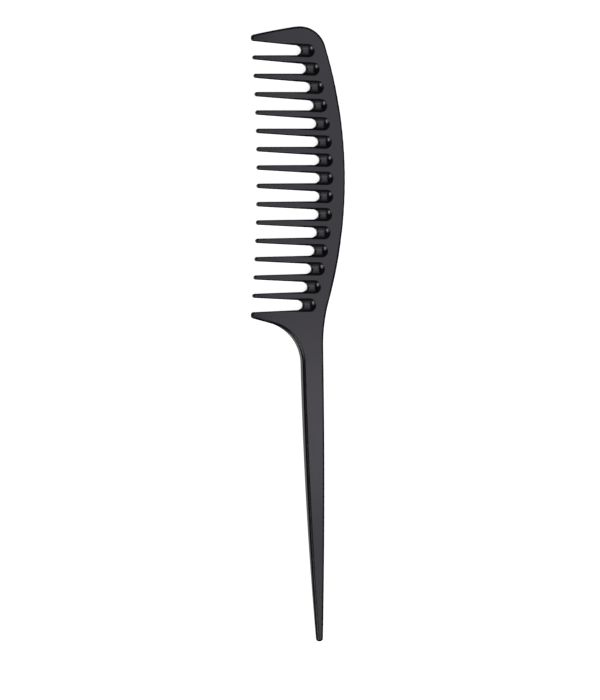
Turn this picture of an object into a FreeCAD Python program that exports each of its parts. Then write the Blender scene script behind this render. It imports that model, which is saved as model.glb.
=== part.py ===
import FreeCAD, Part

import math
import os

from FreeCAD import Vector

# Wide tooth tail comb, lying on its back face.
# +X points from the teeth to the back, +Y from the tail to the head, +Z out of the front face.
# While it is built, X = 0 is the back line of the tail, Y = 0 is the middle of the tooth row and
# Z = 0 is the middle of the thickness. The last step moves the origin to the middle of the base.

# Driving dimensions, in millimetres and degrees
THICKNESS = 4.1                 # head and neck, face to face
EDGE_RADIUS = 1.03              # rounding of the outer edges

INNER_TEETH = 14
TOOTH_PITCH = 6.83              # from tooth to tooth, at the mouth of the gaps
TOOTH_WIDTH = 1.83              # one tooth, at the mouth of the gaps
MOUTH_INSET = 24.0              # from the tail's back line to the mouth of the gaps
SLOT_END_RADIUS = 1.87          # rounded inner end of each gap
TOP_TILT = 2.0                  # tilt of the uppermost gap; the lowest gap lies square
TIP_LINE_INSET = 26.15          # from the tail's back line to the shortest tooth tip
TIP_LINE_RADIUS = 590.0         # shallow hollow curve that the tooth tips follow
TOOTH_TIP_THICKNESS = 1.9
TOOTH_EDGE_RADIUS = 0.5
TOOTH_TIP_BULGE = 0.75          # how far a tooth's rounded tip stands out in plan

BACK_ARC_RADIUS = 163.0
BACK_BULGE = 8.45               # how far the back stands out behind the tail's back line
BACK_APEX_Y = -1.0
CROWN_RADIUS = 10.4             # upper corner of the head
NAPE_INSET = 0.4                # where the back arc would meet the tail
NAPE_RADIUS = 60.0              # hollow where the back runs into the tail

SLOT_END_DEPTH = 9.6            # from the back to the inner end of each gap
WEB_EDGE_RADIUS = 0.55          # rounding of the web between two root pockets, in its gap
POCKET_END_DEPTH = 5.0          # from the back to the end of each root pocket
POCKET_WIDTH = 5.04             # root pocket, measured on the face
POCKET_DEPTH = 1.15
POCKET_LIP_RADIUS = 0.3         # rounding between a root pocket and the face

END_TOOTH_HEIGHT = 2.15         # guard teeth, across their tips
END_TOOTH_INSET = 28.4          # from the tail's back line to the tips of the guard teeth
END_TOOTH_NOSE = 0.98           # rounding of their tips in plan
CROWN_SLOPE = 10.0              # rise of the top guard tooth's outer edge
CROWN_BOW = 0.3                 # how far that edge bows out
HEEL_SLOPE = 14.0               # fall of the heel tooth's outer edge
HEEL_RADIUS = 16.0              # hollow between the heel tooth and the tail

NECK_WIDTH = 8.7                # where the heel's edge would meet the tail's front edge
NECK_LENGTH = 24.0
NECK_DROP = 8.0                 # from the lowest gap to the start of the neck
TAIL_LENGTH = 125.7             # from the lowest gap to the end of the tail
TAIL_FLAT_LENGTH = 36.0         # from the lowest gap to where the tail starts to thin
TAIL_END_WIDTH = 2.5
TAIL_END_NOSE = 1.15            # rounding of the tail's end in plan
TAIL_END_THICKNESS = 2.2
TAIL_BELLY = 0.95               # how far the tail's front edge bows out
TAIL_BACK_BOW = 0.5             # how far the tail's back edge bows out
TAIL_TIP_LENGTH = 24.0

SEAM_MARGIN = 0.3               # from the start of a rounded gap end to the tooth's root plane
REACH = 20.0                    # cutting shapes run this far past the comb
OVERLAP = 1.0                   # pieces are rounded this far past their seam, then trimmed to it
TIP_OVERRUN = 0.5               # the side profile of a tooth runs this far past its tip
NEAR = 0.01                     # places closer than this count as one

# Most that a rounding takes of what it stands on, should a size above be made smaller
SLOT_END_SHARE = 0.48           # of a gap's mouth
NOSE_SHARE = 0.46               # of a guard tooth's height
END_SHARE = 0.47                # of the tail end's width or thickness, or a tooth tip's height
RIM_SHARE = 0.94                # of the tail end's rounding in plan
NOSE_EDGE_SHARE = 0.8           # of a guard tooth's rounding in plan
THIN_EDGE_SHARE = 0.4           # of a tooth tip's or a web's thickness
TOOTH_EDGE_SHARE = 0.35         # of an inner tooth tip's height or thickness

GAPS = INNER_TEETH + 1
HALF = THICKNESS / 2
mouth_width = TOOTH_PITCH - TOOTH_WIDTH
slot_end_radius = min(SLOT_END_RADIUS, SLOT_END_SHARE * mouth_width)
end_tooth_nose = min(END_TOOTH_NOSE, NOSE_SHARE * END_TOOTH_HEIGHT)
tail_end_nose = min(TAIL_END_NOSE, END_SHARE * TAIL_END_WIDTH)
edge_radius = min(EDGE_RADIUS, END_SHARE * TAIL_END_THICKNESS, RIM_SHARE * tail_end_nose)
end_edge_radius = min(edge_radius, THIN_EDGE_SHARE * TOOTH_TIP_THICKNESS,
                      NOSE_EDGE_SHARE * end_tooth_nose)
web_thickness = THICKNESS - 2 * POCKET_DEPTH
web_edge_radius = min(WEB_EDGE_RADIUS, THIN_EDGE_SHARE * web_thickness)
pocket_radius = (POCKET_WIDTH ** 2 / 4 + POCKET_DEPTH ** 2) / (2 * POCKET_DEPTH)
lowest_gap_y = -TOOTH_PITCH * (GAPS - 1) / 2
tail_end_y = lowest_gap_y - TAIL_LENGTH


def line(start, end):
    return Part.LineSegment(start, end).toShape()


def arc(start, middle, end):
    return Part.Arc(start, middle, end).toShape()


def bowed(start, end, bow):
    """Shallow arc from start to end that stands out by bow on the right of its direction."""
    along = (end - start).normalize()
    right = Vector(along.y, -along.x, 0)
    return arc(start, (start + end) * 0.5 + right * bow, end)


def slab(edges):
    """Solid of the full thickness on a closed outline."""
    face = Part.Face(Part.Wire(edges))
    face.translate(Vector(0, 0, -HALF))
    return face.extrude(Vector(0, 0, THICKNESS))


def box(x_low, x_high, y_low, y_high):
    size = (x_high - x_low, y_high - y_low, THICKNESS + 2 * REACH)
    return Part.makeBox(*size, Vector(x_low, y_low, -HALF - REACH))


def back_x(y):
    """X of the back arc at height y."""
    drop = BACK_ARC_RADIUS - math.sqrt(BACK_ARC_RADIUS ** 2 - (y - BACK_APEX_Y) ** 2)
    return BACK_BULGE - drop


def tip_x(y):
    """X of the inner teeth's tips at height y."""
    return -TIP_LINE_INSET - y ** 2 / (2 * TIP_LINE_RADIUS)


class Gap:
    """One gap between two teeth: 0 is under the top guard tooth, the last is over the heel."""

    def __init__(self, index):
        tilt = math.radians(TOP_TILT) * (1 - index / (GAPS - 1))
        self.inward = Vector(math.cos(tilt), -math.sin(tilt), 0)
        self.up = Vector(math.sin(tilt), math.cos(tilt), 0)
        self.mouth = Vector(-MOUTH_INSET, TOOTH_PITCH * ((GAPS - 1) / 2 - index), 0)
        depth = MOUTH_INSET + back_x(self.mouth.y) - SLOT_END_DEPTH
        reach = depth - slot_end_radius
        self.centre = self.mouth + self.inward * reach
        to_pocket_end = depth + SLOT_END_DEPTH - POCKET_END_DEPTH - POCKET_WIDTH / 2
        self.pocket_centre = self.mouth + self.inward * to_pocket_end
        flank = math.hypot(mouth_width / 2, reach)
        self.flare = math.acos(slot_end_radius / flank) - math.atan2(reach, mouth_width / 2)

    def flank_point(self, x, side):
        """Point at the given X on the upper (side 1) or lower (side -1) flank."""
        along = self.inward * math.cos(self.flare) - self.up * (side * math.sin(self.flare))
        start = self.mouth + self.up * (side * mouth_width / 2)
        return start + along * ((x - start.x) / along.x)

    def slot(self):
        """The through gap, open towards the tips, with a rounded inner end."""
        lean = self.inward * (slot_end_radius * math.sin(self.flare))
        rise = self.up * (slot_end_radius * math.cos(self.flare))
        upper = self.centre + lean + rise
        lower = self.centre + lean - rise
        end = self.centre + self.inward * slot_end_radius
        upper_mouth = self.flank_point(-MOUTH_INSET - REACH, 1)
        lower_mouth = self.flank_point(-MOUTH_INSET - REACH, -1)
        return slab([line(upper_mouth, upper), arc(upper, end, lower),
                     line(lower, lower_mouth), line(lower_mouth, upper_mouth)])

    def pockets(self):
        """Round-bottomed trough on each face, with a ball-shaped end towards the back."""
        shapes = []
        for face in (1, -1):
            height = face * (HALF + pocket_radius - POCKET_DEPTH)
            end = self.pocket_centre + Vector(0, 0, height)
            trough = Part.makeCylinder(pocket_radius, MOUTH_INSET + REACH, end, self.inward * -1)
            shapes.append(trough.fuse(Part.makeSphere(pocket_radius, end)))
        return shapes


gaps = [Gap(i) for i in range(GAPS)]


def tip_width(index, x):
    """Height of the tooth between gap index - 1 and gap index at the given X."""
    return gaps[index - 1].flank_point(x, -1).y - gaps[index].flank_point(x, 1).y


narrowest = min(tip_width(i, tip_x(gaps[i].mouth.y)) for i in range(1, GAPS))
tip_bulge = min(TOOTH_TIP_BULGE, END_SHARE * narrowest)
tooth_edge_radius = min(TOOTH_EDGE_RADIUS, TOOTH_EDGE_SHARE * min(TOOTH_TIP_THICKNESS, narrowest))


def tooth_side(root_x, end_x):
    """Side view of a tooth: full thickness at its root, thinning in a faired curve to its tip."""
    drop = (THICKNESS - TOOTH_TIP_THICKNESS) / 2
    inner_x = root_x + REACH
    front = [Vector(root_x, 0, HALF), Vector((root_x + end_x) / 2, 0, HALF - drop / 4),
             Vector(end_x, 0, HALF - drop)]
    rear = [Vector(p.x, 0, -p.z) for p in reversed(front)]
    edges = [line(Vector(inner_x, 0, HALF), front[0]), arc(*front), line(front[2], rear[0]),
             arc(*rear), line(rear[2], Vector(inner_x, 0, -HALF)),
             line(Vector(inner_x, 0, -HALF), Vector(inner_x, 0, HALF))]
    face = Part.Face(Part.Wire(edges))
    span = TAIL_LENGTH + TOOTH_PITCH * GAPS
    face.translate(Vector(0, -span, 0))
    return face.extrude(Vector(0, 2 * span, 0))


def tail_side():
    """Side view of the whole comb: flat head and neck, tail thinning in a faired curve."""
    drop = (THICKNESS - TAIL_END_THICKNESS) / 2
    start_y = lowest_gap_y - TAIL_FLAT_LENGTH
    top_y = -lowest_gap_y + REACH
    front = [Vector(0, start_y, HALF), Vector(0, (start_y + tail_end_y) / 2, HALF - drop / 4),
             Vector(0, tail_end_y, HALF - drop)]
    rear = [Vector(0, p.y, -p.z) for p in reversed(front)]
    edges = [line(Vector(0, top_y, HALF), front[0]), arc(*front), line(front[2], rear[0]),
             arc(*rear), line(rear[2], Vector(0, top_y, -HALF)),
             line(Vector(0, top_y, -HALF), Vector(0, top_y, HALF))]
    face = Part.Face(Part.Wire(edges))
    span = END_TOOTH_INSET + REACH
    face.translate(Vector(-span, 0, 0))
    return face.extrude(Vector(2 * span, 0, 0))


def is_upright(edge):
    return edge.BoundBox.XLength + edge.BoundBox.YLength < NEAR


def round_upright(shape, corner, radius):
    """Round the upright edge of a slab that stands at the given corner of its outline."""
    for edge in shape.Edges:
        place = edge.CenterOfMass
        if is_upright(edge) and math.hypot(place.x - corner.x, place.y - corner.y) < NEAR:
            return shape.makeFillet(radius, [edge])
    raise ValueError("no upright edge at the corner")


def rim(shape, keep):
    """Numbers of the edges where the front and rear faces meet the walls that keep accepts."""
    numbers = []
    for number, edge in enumerate(shape.Edges, 1):
        walls = [face for face in shape.Faces
                 if abs(face.normalAt(*middle(face)).z) < NEAR and keep(face)
                 and any(edge.isSame(other) for other in face.Edges)]
        if walls and not is_upright(edge):
            numbers.append(number)
    return numbers


def middle(face):
    low_u, high_u, low_v, high_v = face.ParameterRange
    return (low_u + high_u) / 2, (low_v + high_v) / 2


def line_meets_back(start, slope):
    """Where a line from start, rising at slope degrees, meets the back arc."""
    along = Vector(math.cos(math.radians(slope)), math.sin(math.radians(slope)), 0)
    centre = Vector(BACK_BULGE - BACK_ARC_RADIUS, BACK_APEX_Y, 0)
    offset = start - centre
    forward = offset.dot(along)
    return start + along * (math.sqrt(forward ** 2 - offset.dot(offset) + BACK_ARC_RADIUS ** 2)
                            - forward)


def fillet_each(shape, radii):
    """Round edges of a shape, each with its own radius at its start and end."""
    document = FreeCAD.newDocument("rounding")
    sharp = document.addObject("Part::Feature", "sharp")
    sharp.Shape = shape
    rounded = document.addObject("Part::Fillet", "rounded")
    rounded.Base = sharp
    rounded.Edges = radii
    document.recompute()
    result = rounded.Shape.copy()
    FreeCAD.closeDocument("rounding")
    return result


# Corners of the comb's outline, before they are rounded
guard_low = gaps[0].flank_point(-END_TOOTH_INSET, 1)
guard_high = guard_low + Vector(0, END_TOOTH_HEIGHT, 0)
heel_high = gaps[-1].flank_point(-END_TOOTH_INSET, -1)
heel_low = heel_high - Vector(0, END_TOOTH_HEIGHT, 0)
crown = line_meets_back(guard_high, CROWN_SLOPE)
heel_fall = math.tan(math.radians(HEEL_SLOPE)) * (END_TOOTH_INSET - NECK_WIDTH)
heel_corner = Vector(-NECK_WIDTH, heel_low.y - heel_fall, 0)
nape_rise = math.sqrt(BACK_ARC_RADIUS ** 2 - (BACK_ARC_RADIUS - BACK_BULGE - NAPE_INSET) ** 2)
nape = Vector(-NAPE_INSET, BACK_APEX_Y - nape_rise, 0)
tail_front = Vector(-TAIL_END_WIDTH, tail_end_y, 0)
tail_back = Vector(0, tail_end_y, 0)


def blade():
    """The comb without its gaps, at full thickness, with the head's corners rounded in plan."""
    apex = Vector(BACK_BULGE, BACK_APEX_Y, 0)
    outline = [bowed(guard_high, crown, -CROWN_BOW), arc(crown, apex, nape),
               bowed(nape, tail_back, -TAIL_BACK_BOW), line(tail_back, tail_front),
               bowed(tail_front, heel_corner, -TAIL_BELLY),
               line(heel_corner, heel_low), line(heel_low, guard_high)]
    shape = slab(outline)
    for corner, radius in ((crown, CROWN_RADIUS), (nape, NAPE_RADIUS), (heel_corner, HEEL_RADIUS),
                           (tail_back, tail_end_nose), (tail_front, tail_end_nose)):
        shape = round_upright(shape, corner, radius)
    return shape


def frame_blank():
    """Spine, neck and tail in one, rounded along their outer edges, before the gaps are cut."""
    trim_x = OVERLAP - END_TOOTH_INSET
    shape = blade().common(tail_side())
    shape = shape.common(box(trim_x, BACK_BULGE + REACH, tail_end_y - REACH, REACH - lowest_gap_y))
    outer = rim(shape, lambda face: face.BoundBox.XMax > trim_x + NEAR)
    return shape.makeFillet(edge_radius, [shape.Edges[n - 1] for n in outer])


def root_x(index):
    """Root plane of the tooth under gap index - 1 and over gap index."""
    limits = [gap.centre.x for gap in gaps[max(index - 1, 0):index + 1]]
    if index == GAPS:
        limits.append(-NECK_WIDTH - OVERLAP)
    return min(limits) - SEAM_MARGIN


def end_tooth(gap, root, side):
    """Guard tooth on the given side of its gap, from the root plane to its tip."""
    low, high = (guard_low, guard_high) if side > 0 else (heel_low, heel_high)
    shape = blade().cut(gap.slot())
    keep_low, keep_high = (gap.centre.y, REACH - lowest_gap_y)
    if side < 0:
        keep_low, keep_high = (tail_end_y, gap.centre.y)
    shape = shape.common(box(-END_TOOTH_INSET - REACH, root + OVERLAP, keep_low, keep_high))
    for corner in (low, high):
        shape = round_upright(shape, corner, end_tooth_nose)
    shape = shape.common(tooth_side(root, -END_TOOTH_INSET - TIP_OVERRUN))

    tip_start = end_tooth_nose - END_TOOTH_INSET

    def radius_at(point):
        if abs(point.y - gap.flank_point(point.x, side).y) < NEAR:
            return tooth_edge_radius
        share = (point.x - tip_start) / (root - tip_start)
        return end_edge_radius + (edge_radius - end_edge_radius) * min(max(share, 0), 1)

    radii = []
    for number in rim(shape, lambda face: face.BoundBox.XMin < root + OVERLAP - NEAR):
        ends = shape.Edges[number - 1].Vertexes
        radii.append((number, radius_at(ends[0].Point), radius_at(ends[-1].Point)))
    shape = fillet_each(shape, radii)
    return shape.common(box(-END_TOOTH_INSET - REACH, root, tail_end_y, REACH - lowest_gap_y))


def inner_tooth(index):
    """Tooth between gap index - 1 and gap index, from its root plane to its tip."""
    above, below = gaps[index - 1], gaps[index]
    root = root_x(index)
    end = tip_x((above.mouth.y + below.mouth.y) / 2)
    upper_root = above.flank_point(root + OVERLAP, -1)
    upper_tip = above.flank_point(end + tip_bulge, -1)
    lower_tip = below.flank_point(end + tip_bulge, 1)
    lower_root = below.flank_point(root + OVERLAP, 1)
    nose = Vector(end, (upper_tip.y + lower_tip.y) / 2, 0)
    shape = slab([line(upper_root, upper_tip), arc(upper_tip, nose, lower_tip),
                  line(lower_tip, lower_root), line(lower_root, upper_root)])
    shape = shape.common(tooth_side(root, end - TIP_OVERRUN))
    numbers = rim(shape, lambda face: face.BoundBox.XMin < root + OVERLAP - NEAR)
    shape = shape.makeFillet(tooth_edge_radius, [shape.Edges[n - 1] for n in numbers])
    return shape.common(box(end - REACH, root, tail_end_y, REACH - lowest_gap_y))


def cut_pockets(shape, beside):
    for gap in beside:
        for pocket in gap.pockets():
            shape = shape.cut(pocket)
    return shape


def tooth_zone(clear):
    """Everything further than clear on the tips' side of the root planes, from end to end."""
    bounds = [REACH - lowest_gap_y] + [gap.centre.y for gap in gaps] + [tail_end_y]
    zone = []
    for index in range(GAPS + 1):
        zone.append(box(-END_TOOTH_INSET - REACH, root_x(index) - clear,
                        bounds[index + 1], bounds[index]))
    return zone


def is_round(face, radius, upright):
    """Whether a face lies on a cylinder or ball of the radius, a cylinder standing or lying."""
    surface = face.Surface
    if isinstance(surface, Part.Sphere):
        return not upright and abs(surface.Radius - radius) < NEAR
    if not isinstance(surface, Part.Cylinder) or abs(surface.Radius - radius) > NEAR:
        return False
    return (abs(surface.Axis.z) > 0.5) == upright


def shared_edges(shape, first, second):
    """Edges between a face that first accepts and a face that second accepts."""
    edges = []
    for face in filter(first, shape.Faces):
        for other in filter(second, shape.Faces):
            for edge in face.Edges:
                if any(edge.isSame(partner) for partner in other.Edges):
                    edges.append(edge)
    return edges


def soften_roots(spine):
    """Round the webs' edges in the gaps and the lips of the root pockets, alike on both faces."""
    def in_pocket(face):
        return is_round(face, pocket_radius, False)

    def is_front(face):
        return isinstance(face.Surface, Part.Plane) and face.BoundBox.ZMin > HALF - NEAR

    span = END_TOOTH_INSET + REACH
    long_span = TAIL_LENGTH + TOOTH_PITCH * GAPS
    front = spine.common(Part.makeBox(2 * span, 2 * long_span, HALF + REACH,
                                      Vector(-span, -long_span, 0)))
    webs = shared_edges(front, lambda face: is_round(face, slot_end_radius, True), in_pocket)
    front = front.makeFillet(web_edge_radius, webs)
    front = front.makeFillet(POCKET_LIP_RADIUS, shared_edges(front, is_front, in_pocket))
    rear = front.mirror(Vector(0, 0, 0), Vector(0, 0, 1))
    return front.fuse(rear).removeSplitter()


def frame_pieces():
    """Spine, neck, tail shaft and tail tip, cut from one blank at their seams."""
    blank = frame_blank()
    spine_end = lowest_gap_y - NECK_DROP
    neck_end = spine_end - NECK_LENGTH
    shaft_end = tail_end_y + TAIL_TIP_LENGTH
    limits = (("spine", spine_end, REACH - lowest_gap_y), ("neck", neck_end, spine_end),
              ("tail_shaft", shaft_end, neck_end), ("tail_tip", tail_end_y - REACH, shaft_end))
    pieces = {}
    for name, low, high in limits:
        pieces[name] = blank.common(box(-END_TOOTH_INSET - REACH, BACK_BULGE + REACH, low, high))
    pieces["neck"] = pieces["neck"].cut(tooth_zone(0)[-1])
    spine = pieces["spine"]
    for shape in tooth_zone(OVERLAP) + [gap.slot() for gap in gaps]:
        spine = spine.cut(shape)
    spine = soften_roots(cut_pockets(spine, gaps))
    for shape in tooth_zone(0):
        spine = spine.cut(shape)
    pieces["spine"] = spine
    return pieces


def comb():
    """Every named region of the comb, as one solid each."""
    pieces = frame_pieces()
    top = end_tooth(gaps[0], root_x(0), 1)
    heel = end_tooth(gaps[-1], root_x(GAPS), -1)
    pieces["end_tooth_top"] = cut_pockets(top, gaps[:1])
    pieces["end_tooth_heel"] = cut_pockets(heel, gaps[-1:])
    for index in range(1, GAPS):
        pieces[f"tooth_{index:02d}"] = cut_pockets(inner_tooth(index), gaps[index - 1:index + 1])
    return pieces


pieces = comb()
whole = Part.makeCompound(list(pieces.values())).optimalBoundingBox(False)
shift = Vector(-(whole.XMin + whole.XMax) / 2, -(whole.YMin + whole.YMax) / 2, HALF)
os.makedirs("parts", exist_ok=True)
for name, piece in pieces.items():
    if len(piece.Solids) != 1 or not piece.isValid():
        raise ValueError(f"{name} is not one valid solid")
    solid = piece.Solids[0]
    solid.translate(shift)
    solid.exportStep(f"parts/{name}.step")
    bounds = solid.optimalBoundingBox(False)
    print(f"{name:16s} {solid.Volume:9.2f} mm3  X {bounds.XMin:8.2f} {bounds.XMax:8.2f}"
          f"  Y {bounds.YMin:8.2f} {bounds.YMax:8.2f}  Z {bounds.ZMin:6.3f} {bounds.ZMax:6.3f}")
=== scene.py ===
import math

import bpy
from mathutils import Matrix, Vector


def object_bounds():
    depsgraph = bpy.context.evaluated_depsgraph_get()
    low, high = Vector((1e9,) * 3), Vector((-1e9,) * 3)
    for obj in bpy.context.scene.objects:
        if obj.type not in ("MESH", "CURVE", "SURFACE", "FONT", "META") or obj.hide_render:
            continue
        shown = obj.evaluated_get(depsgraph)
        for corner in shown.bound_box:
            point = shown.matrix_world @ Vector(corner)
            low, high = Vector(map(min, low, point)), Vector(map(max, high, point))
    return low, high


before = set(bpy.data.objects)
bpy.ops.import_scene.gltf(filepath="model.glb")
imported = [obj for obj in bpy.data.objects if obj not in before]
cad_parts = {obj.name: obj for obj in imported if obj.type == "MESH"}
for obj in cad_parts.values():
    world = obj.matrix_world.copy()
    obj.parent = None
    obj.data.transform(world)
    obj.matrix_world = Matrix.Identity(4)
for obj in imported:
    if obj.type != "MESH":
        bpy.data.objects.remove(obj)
cad_low, cad_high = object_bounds()
centre = (cad_low + cad_high) / 2

# The camera looks at the front face, turned about the comb's long axis towards its teeth
VIEW_TURN = math.radians(20)
LENS = 500.0
SENSOR = 36.0
VIEW_LENGTH = 0.2614            # metres that the frame's longer side takes in
VIEW_SHIFT_X = 0.0009           # metres from the comb's middle to the middle of the frame
VIEW_SHIFT_Y = -0.00597

# Plastic: slow clouds shift its gloss and colour a little, and a fine grain roughens its skin
CLOUD_SCALE = 90
CLOUD_RANGE = (0.3, 0.7)        # the part of the noise that carries the shift from end to end
ROUGHNESS_RANGE = (0.19, 0.24)
DARK_TONE = (0.0040, 0.0038, 0.0046, 1)
PALE_TONE = (0.0056, 0.0052, 0.0064, 1)
GRAIN_SCALE = 2600
GRAIN_STRENGTH = 0.12
GRAIN_DEPTH = 0.00002           # metres

FLOOR_HALF_WIDTH = 6.0          # metres
FLOOR_DROP = 0.0001             # metres below the comb's base, so that the two never coincide
FLOOR_COLOUR = (0.8, 0.8, 0.8, 1)
FLOOR_GLOW = 0.9

# Studio: brightness of its walls by the sine of the height seen, over dark ground and below a
# dark ceiling that starts at CEILING_SINE
STUDIO_DARK = 0.002
WALL_SHADES = ((0.03, 0.07), (0.35, 0.06))
CEILING_SINE = 0.75

WHITE = (1, 1, 1)
VIOLET_WHITE = (0.92, 0.88, 1)
# Lamps: turn and aside in degrees, distance, width and height in metres, radiance, colour
LAMPS = {
    "overhead": (21, 0, 0.6, 0.36, 0.7, 1.35, VIOLET_WHITE),
    "overhead_long": (21, 0, 0.6, 0.36, 1.6, 0.66, VIOLET_WHITE),
    "neck": (20, -7.5, 0.3, 0.12, 0.06, 0.9, VIOLET_WHITE),
    "side": (-40, -29, 1.2, 0.36, 0.74, 6.0, WHITE),
    "under": (192, 0, 0.3, 0.14, 0.6, 0.8, WHITE),
}


def plastic():
    """Moulded plastic, nearly black, with a fine grain in its satin skin."""
    material = bpy.data.materials.new("satin_black_plastic")
    material.use_nodes = True
    nodes, links = material.node_tree.nodes, material.node_tree.links
    shader = nodes["Principled BSDF"]
    place = nodes.new("ShaderNodeTexCoord").outputs["Object"]

    cloud = nodes.new("ShaderNodeTexNoise")
    cloud.inputs["Scale"].default_value = CLOUD_SCALE
    cloud.inputs["Detail"].default_value = 3
    links.new(place, cloud.inputs["Vector"])
    gloss = nodes.new("ShaderNodeMapRange")
    gloss.inputs["From Min"].default_value = CLOUD_RANGE[0]
    gloss.inputs["From Max"].default_value = CLOUD_RANGE[1]
    gloss.inputs["To Min"].default_value = ROUGHNESS_RANGE[0]
    gloss.inputs["To Max"].default_value = ROUGHNESS_RANGE[1]
    links.new(cloud.outputs["Fac"], gloss.inputs["Value"])
    links.new(gloss.outputs["Result"], shader.inputs["Roughness"])

    tone = nodes.new("ShaderNodeValToRGB")
    for element, position, colour in zip(tone.color_ramp.elements, CLOUD_RANGE,
                                         (DARK_TONE, PALE_TONE)):
        element.position = position
        element.color = colour
    links.new(cloud.outputs["Fac"], tone.inputs["Fac"])
    links.new(tone.outputs["Color"], shader.inputs["Base Color"])

    grain = nodes.new("ShaderNodeTexNoise")
    grain.inputs["Scale"].default_value = GRAIN_SCALE
    grain.inputs["Detail"].default_value = 2
    links.new(place, grain.inputs["Vector"])
    bump = nodes.new("ShaderNodeBump")
    bump.inputs["Strength"].default_value = GRAIN_STRENGTH
    bump.inputs["Distance"].default_value = GRAIN_DEPTH
    links.new(grain.outputs["Fac"], bump.inputs["Height"])
    links.new(bump.outputs["Normal"], shader.inputs["Normal"])
    return material


def axes_matrix(right, up, back, place):
    """Stand an object at a place, with its own axes along right, up and back."""
    return Matrix((
        (right.x, up.x, back.x, place.x),
        (right.y, up.y, back.y, place.y),
        (right.z, up.z, back.z, place.z),
        (0, 0, 0, 1)))


def camera():
    """Camera at the viewing angle, far off, so that the comb is seen almost without perspective."""
    data = bpy.data.cameras.new("camera")
    data.lens = LENS
    data.sensor_width = SENSOR
    view = bpy.data.objects.new("camera", data)
    bpy.context.scene.collection.objects.link(view)
    back = Vector((-math.sin(VIEW_TURN), 0, math.cos(VIEW_TURN)))
    up = Vector((0, 1, 0))
    right = up.cross(back).normalized()
    # the sensor's width lies along the frame's longer side, which is its height
    distance = VIEW_LENGTH * LENS / SENSOR
    place = centre + right * VIEW_SHIFT_X + up * VIEW_SHIFT_Y + back * distance
    view.matrix_world = axes_matrix(right, up, back, place)
    bpy.context.scene.camera = view


def softbox(name, turn, aside, distance, width, height, radiance, colour):
    """Area light aimed at the comb, turned from straight above towards the back (+X) and aside
    towards the head (+Y); width runs in the plane of the turn, height along the comb."""
    turn, aside = math.radians(turn), math.radians(aside)
    back = Vector((math.sin(turn) * math.cos(aside), math.sin(aside),
                   math.cos(turn) * math.cos(aside)))
    right = Vector((0, 1, 0)).cross(back).normalized()
    up = back.cross(right)
    data = bpy.data.lights.new(name, "AREA")
    data.shape = "RECTANGLE"
    data.size, data.size_y = width, height
    data.energy = math.pi * width * height * radiance
    data.color = colour
    light = bpy.data.objects.new(name, data)
    light.matrix_world = axes_matrix(right, up, back, centre + back * distance)
    light.visible_camera = False
    bpy.context.scene.collection.objects.link(light)


def floor():
    """Pale glowing floor, kept out of reflections, that lets the lamp under it shine through."""
    mesh = bpy.data.meshes.new("floor")
    height = cad_low.z - FLOOR_DROP
    corners = [(across * FLOOR_HALF_WIDTH, along * FLOOR_HALF_WIDTH, height)
               for across, along in ((-1, -1), (1, -1), (1, 1), (-1, 1))]
    mesh.from_pydata(corners, [], [(0, 1, 2, 3)])
    plane = bpy.data.objects.new("floor", mesh)
    bpy.context.scene.collection.objects.link(plane)
    material = bpy.data.materials.new("pale_floor")
    material.use_nodes = True
    shader = material.node_tree.nodes["Principled BSDF"]
    shader.inputs["Base Color"].default_value = FLOOR_COLOUR
    shader.inputs["Roughness"].default_value = 0.9
    shader.inputs["Emission Color"].default_value = (1, 1, 1, 1)
    shader.inputs["Emission Strength"].default_value = FLOOR_GLOW
    mesh.materials.append(material)
    plane.visible_glossy = False
    plane.visible_shadow = False


def studio():
    """Dim studio round the comb: its walls are palest low down, its ceiling and the ground dark."""
    world = bpy.data.worlds.new("studio")
    world.use_nodes = True
    nodes, links = world.node_tree.nodes, world.node_tree.links
    height = nodes.new("ShaderNodeSeparateXYZ")
    links.new(nodes.new("ShaderNodeTexCoord").outputs["Generated"], height.inputs["Vector"])
    wall = nodes.new("ShaderNodeValToRGB")
    ramp = wall.color_ramp
    for element in ramp.elements:
        element.color = (STUDIO_DARK, STUDIO_DARK, STUDIO_DARK, 1)
    ramp.elements[1].position = CEILING_SINE
    for sine, shade in WALL_SHADES:
        ramp.elements.new(sine).color = (shade, shade, shade, 1)
    links.new(height.outputs["Z"], wall.inputs["Fac"])
    links.new(wall.outputs["Color"], nodes["Background"].inputs["Color"])
    bpy.context.scene.world = world


skin = plastic()
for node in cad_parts.values():
    node.data.materials.clear()
    node.data.materials.append(skin)
camera()
floor()
for name, lamp in LAMPS.items():
    softbox(name, *lamp)
studio()
bpy.context.scene.view_settings.view_transform = "Standard"
